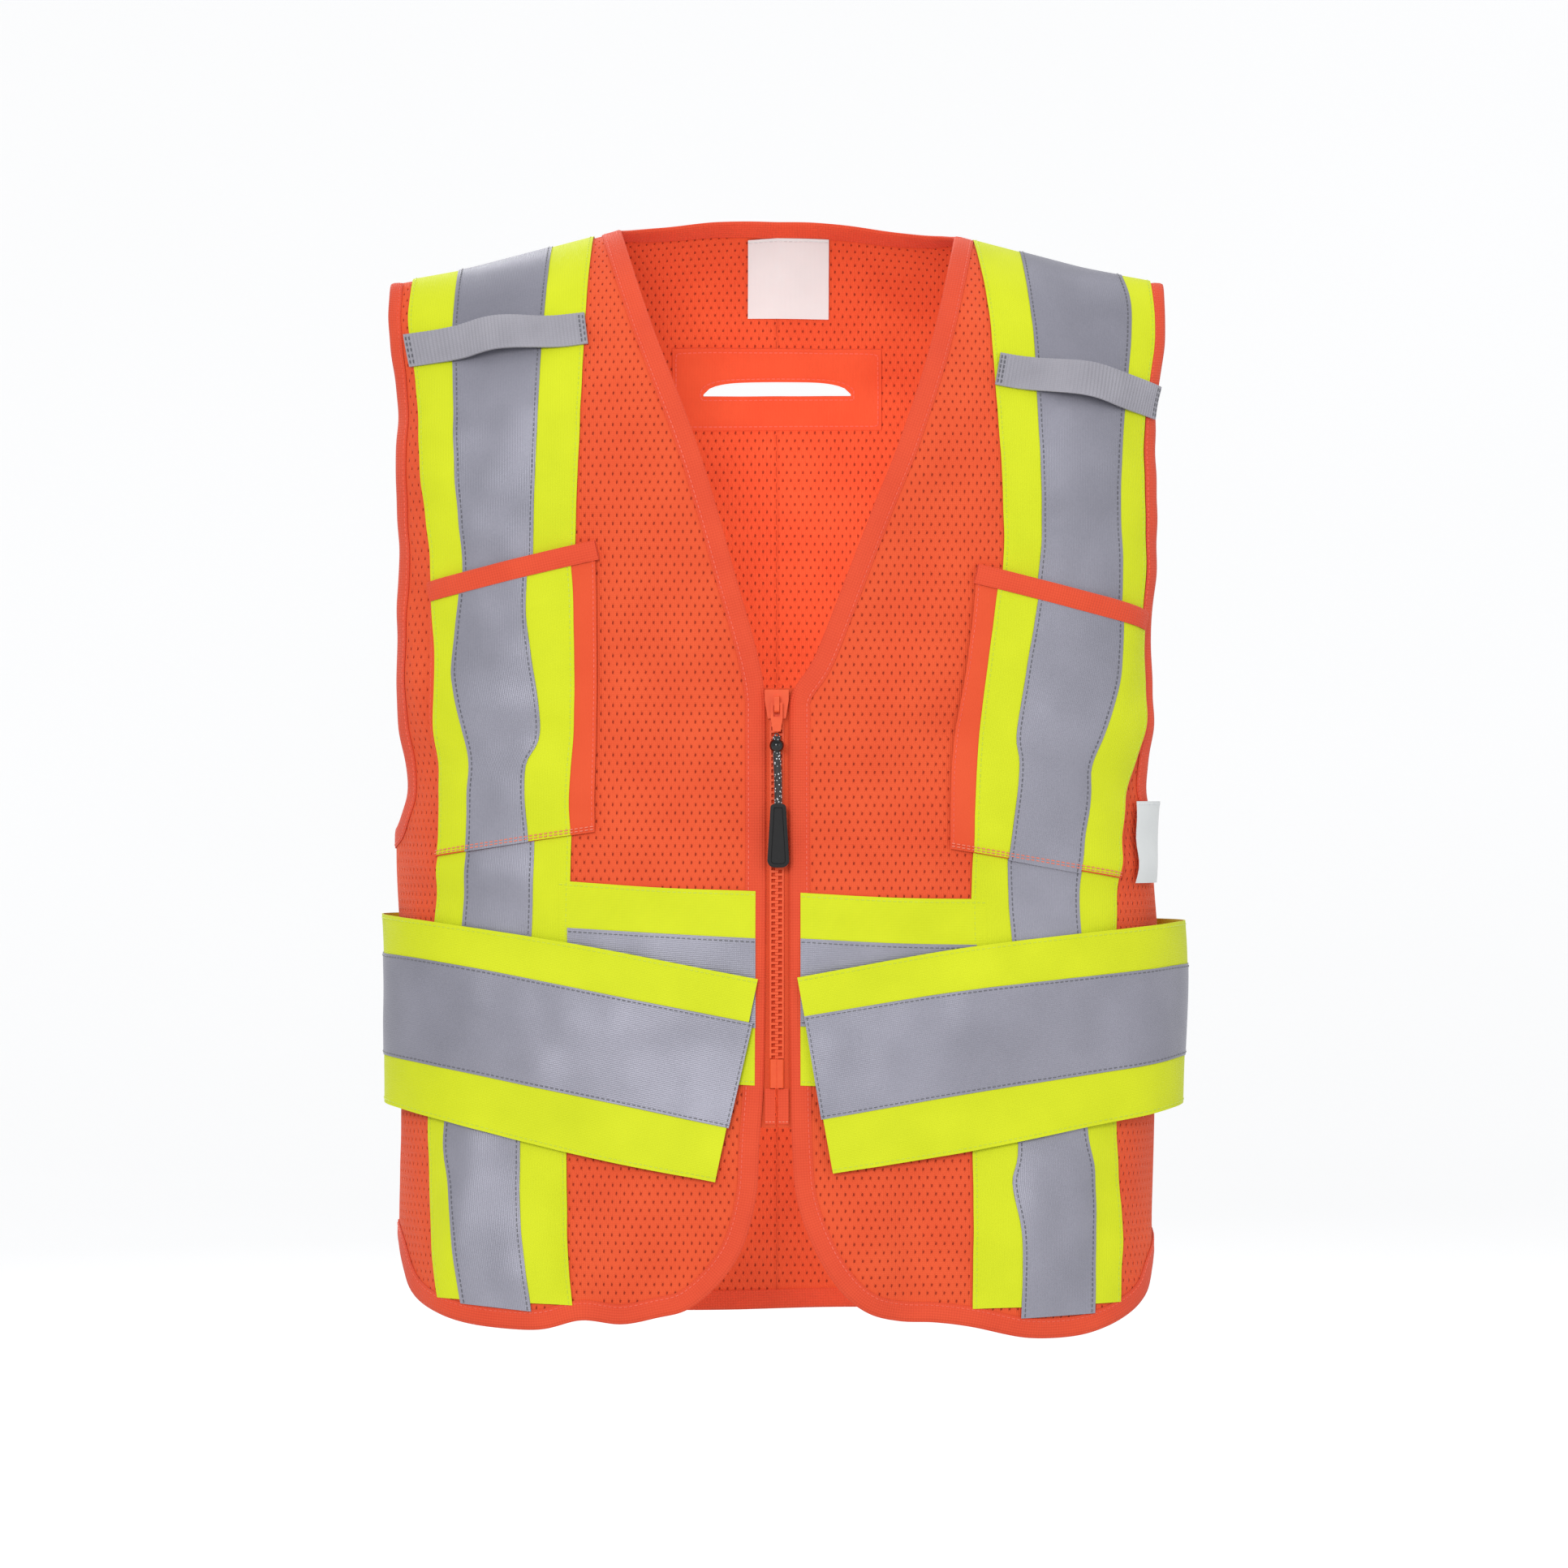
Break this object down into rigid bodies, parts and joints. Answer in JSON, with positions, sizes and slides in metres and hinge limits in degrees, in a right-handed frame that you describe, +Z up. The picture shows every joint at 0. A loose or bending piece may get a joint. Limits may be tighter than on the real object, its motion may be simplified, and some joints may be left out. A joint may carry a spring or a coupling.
{
  "type": "high visibility vest",
  "caption": "Sleeveless orange mesh safety vest with lime and silver tapes, pockets, front zip, mic tabs and loose belt ends.",
  "frame": {"origin": "between the two shoulder neck points, where the vest hangs on the wearer", "axes": "+Z up, -Y out of the front, +X to the wearer's left"},
  "size_m": [0.4694, 0.2185, 0.6899],
  "materials": {
    "mesh": "knitted mesh",
    "binding": "woven binding",
    "lime_tape": "fluorescent knit",
    "silver_tape": "retroreflective glass bead",
    "webbing": "ribbed webbing",
    "label": "satin",
    "zip_plastic": "moulded",
    "zip_cloth": "woven",
    "cord": "braided",
    "bead": "glossy",
    "grip": "matt",
    "hook_tape": "hook side"
  },
  "bodies": {
    "root": {"armhole_binding_left": "binding", "armhole_binding_right": "binding", "back_hem_binding": "binding", "back_neck_binding": "binding", "back_panel": "mesh", "back_yoke": "mesh", "belt_rear": "lime_tape", "belt_rear_reflective": "silver_tape", "mic_tab_left": "webbing", "mic_tab_right": "webbing", "neck_binding_left": "binding", "neck_binding_right": "binding", "neck_label": "label", "shoulder_band_left": "lime_tape", "shoulder_band_right": "lime_tape", "shoulder_reflective_left": "silver_tape", "shoulder_reflective_right": "silver_tape", "slot_facing": "binding", "yoke_left": "mesh", "yoke_right": "mesh"},
    "front_left": {"front_armhole_binding_left": "binding", "front_band_left": "lime_tape", "front_edge_binding_left": "binding", "front_panel_left": "mesh", "front_reflective_left": "silver_tape", "pocket_bag_left": "mesh", "pocket_band_left": "lime_tape", "pocket_binding_left": "binding", "pocket_reflective_left": "silver_tape", "waist_band_left": "lime_tape", "waist_reflective_left": "silver_tape", "zip_box_left": "zip_plastic", "zip_tape_left": "zip_cloth", "zip_teeth_left": "zip_plastic", "side_label": "label"},
    "front_right": {"front_armhole_binding_right": "binding", "front_band_right": "lime_tape", "front_edge_binding_right": "binding", "front_panel_right": "mesh", "front_reflective_right": "silver_tape", "pocket_bag_right": "mesh", "pocket_band_right": "lime_tape", "pocket_binding_right": "binding", "pocket_reflective_right": "silver_tape", "waist_band_right": "lime_tape", "waist_reflective_right": "silver_tape", "zip_pin_right": "zip_plastic", "zip_tape_right": "zip_cloth", "zip_teeth_right": "zip_plastic"},
    "belt_left": {"belt_hook_left": "hook_tape", "belt_reflective_left": "silver_tape", "belt_strap_left": "lime_tape"},
    "belt_right": {"belt_hook_right": "hook_tape", "belt_reflective_right": "silver_tape", "belt_strap_right": "lime_tape"},
    "slider": {"zip_slider": "zip_plastic"},
    "pull_tab": {"pull_tab": "zip_plastic"},
    "pull": {"pull_cord": "cord", "pull_bead": "bead", "pull_grip": "grip"}
  },
  "joints": [
    {"name": "front_left_swing", "type": "hinge", "parent": "root", "child": "front_left", "pos_m": [0.229, 0, -0.4], "axis": [0, 0, 1], "range_deg": [0, 36]},
    {"name": "front_right_swing", "type": "hinge", "parent": "root", "child": "front_right", "pos_m": [-0.229, 0, -0.4], "axis": [0, 0, -1], "range_deg": [0, 36]},
    {"name": "zip_slide", "type": "slide", "parent": "front_left", "child": "slider", "axis": [0, 0, -1], "range_m": [0, 0.201]},
    {"name": "belt_left_swing", "type": "hinge", "parent": "front_left", "child": "belt_left", "pos_m": [0.23406, -0.005, -0.46], "axis": [0, 0, 1], "range_deg": [0, 100]},
    {"name": "belt_right_swing", "type": "hinge", "parent": "front_right", "child": "belt_right", "pos_m": [-0.23406, -0.005, -0.46], "axis": [0, 0, -1], "range_deg": [0, 100]},
    {"name": "pull_tab_hinge", "type": "hinge", "parent": "slider", "child": "pull_tab", "pos_m": [0, -0.1125, -0.2855], "axis": [-1, 0, 0], "range_deg": [0, 170]},
    {"name": "pull_cord_swing", "type": "hinge", "parent": "pull_tab", "child": "pull", "pos_m": [0, -0.1125, -0.3017], "axis": [0, 1, 0], "range_deg": [-45, 45]}
  ],
  "couplings": [
    {"joint": "front_right_swing", "follows": "front_left_swing", "ratio": 1},
    {"joint": "zip_slide", "follows": "front_left_swing", "m_per_rad": 0.3199}
  ]
}
